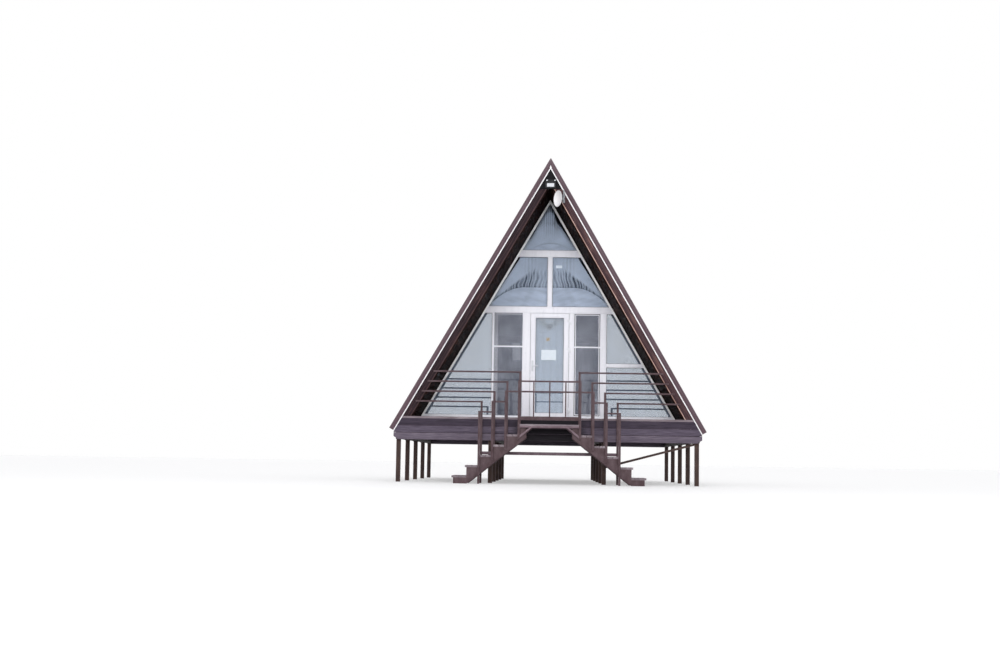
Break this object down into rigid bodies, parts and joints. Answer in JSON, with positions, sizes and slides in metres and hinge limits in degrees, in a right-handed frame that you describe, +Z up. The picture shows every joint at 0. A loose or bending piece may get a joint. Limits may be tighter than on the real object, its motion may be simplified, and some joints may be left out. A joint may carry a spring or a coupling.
{
  "type": "a-frame cabin",
  "caption": "Triangular timber cabin on steel piers with a glazed gable, a covered veranda, a railed landing and two short side stairs.",
  "frame": {"origin": "on the ground, at the middle of the footprint of the roof and the landing", "axes": "+X to the right of someone who faces the glazed front gable, +Y from the front gable to the back gable, +Z up"},
  "size_m": [6.143, 8.51, 6.3815],
  "materials": {
    "pier_steel": "rusty brown paint",
    "rail_steel": "red-brown paint, worn",
    "frame_timber": "rough sawn, stained",
    "dark_boards": "dark stain, weathered",
    "barge_timber": "dark stain with reddish streaks",
    "floor_boards": "grey-brown planed boards",
    "roof_lining": "dark stained boards",
    "roof_boards": "sawn",
    "roof_sheet": "brown coated sheet",
    "verge_brown": "brown coated trim",
    "verge_white": "white coated",
    "white_frame": "white satin",
    "glass": "clear",
    "curtain": "pale woven",
    "handle_metal": "satin",
    "lamp_housing": "black",
    "dish_white": "white",
    "bracket_grey": "galvanised grey"
  },
  "bodies": {
    "cabin": {"piers": "pier_steel", "pier_caps": "pier_steel", "pier_brace": "pier_steel", "floor_bearers": "frame_timber", "floor_joists": "frame_timber", "fascias": "dark_boards", "veranda_deck": "floor_boards", "cabin_floor": "floor_boards", "loft_floor": "floor_boards", "rafters": "frame_timber", "roof_boards": "roof_boards", "roof_lining": "roof_lining", "roof_cover": "roof_sheet", "roof_ribs": "roof_sheet", "ridge_cap": "roof_sheet", "verge_trims": "verge_brown", "verge_flanges": "verge_brown", "verge_strips": "verge_white", "barge_boards": "barge_timber", "apex_board": "dark_boards", "sloping_frames": "white_frame", "window_sill": "white_frame", "wall_mullions": "white_frame", "wall_transoms": "white_frame", "window_glass": "glass", "window_curtains": "curtain", "back_wall": "dark_boards", "back_window_frames": "white_frame", "back_window_glass": "glass", "deck_rails": "rail_steel", "deck_posts": "rail_steel", "stair_railings": "rail_steel", "landing_rails": "rail_steel", "landing_balusters": "rail_steel", "landing_frame": "rail_steel", "landing_boards": "floor_boards", "treads": "floor_boards", "stringers": "rail_steel", "stair_braces": "rail_steel", "floodlight": "lamp_housing", "dish": "dish_white", "dish_bracket": "bracket_grey", "frame_hinges": "handle_metal"},
    "door": {"door_leaf": "white_frame", "door_glass": "glass", "door_curtain": "curtain", "door_handle": "handle_metal", "door_hinges": "handle_metal"}
  },
  "joints": [
    {"name": "door_hinge", "type": "hinge", "parent": "cabin", "child": "door", "pos_m": [0.4125, -1.987, 1.275], "axis": [0, 0, 1], "range_deg": [0, 100]}
  ]
}
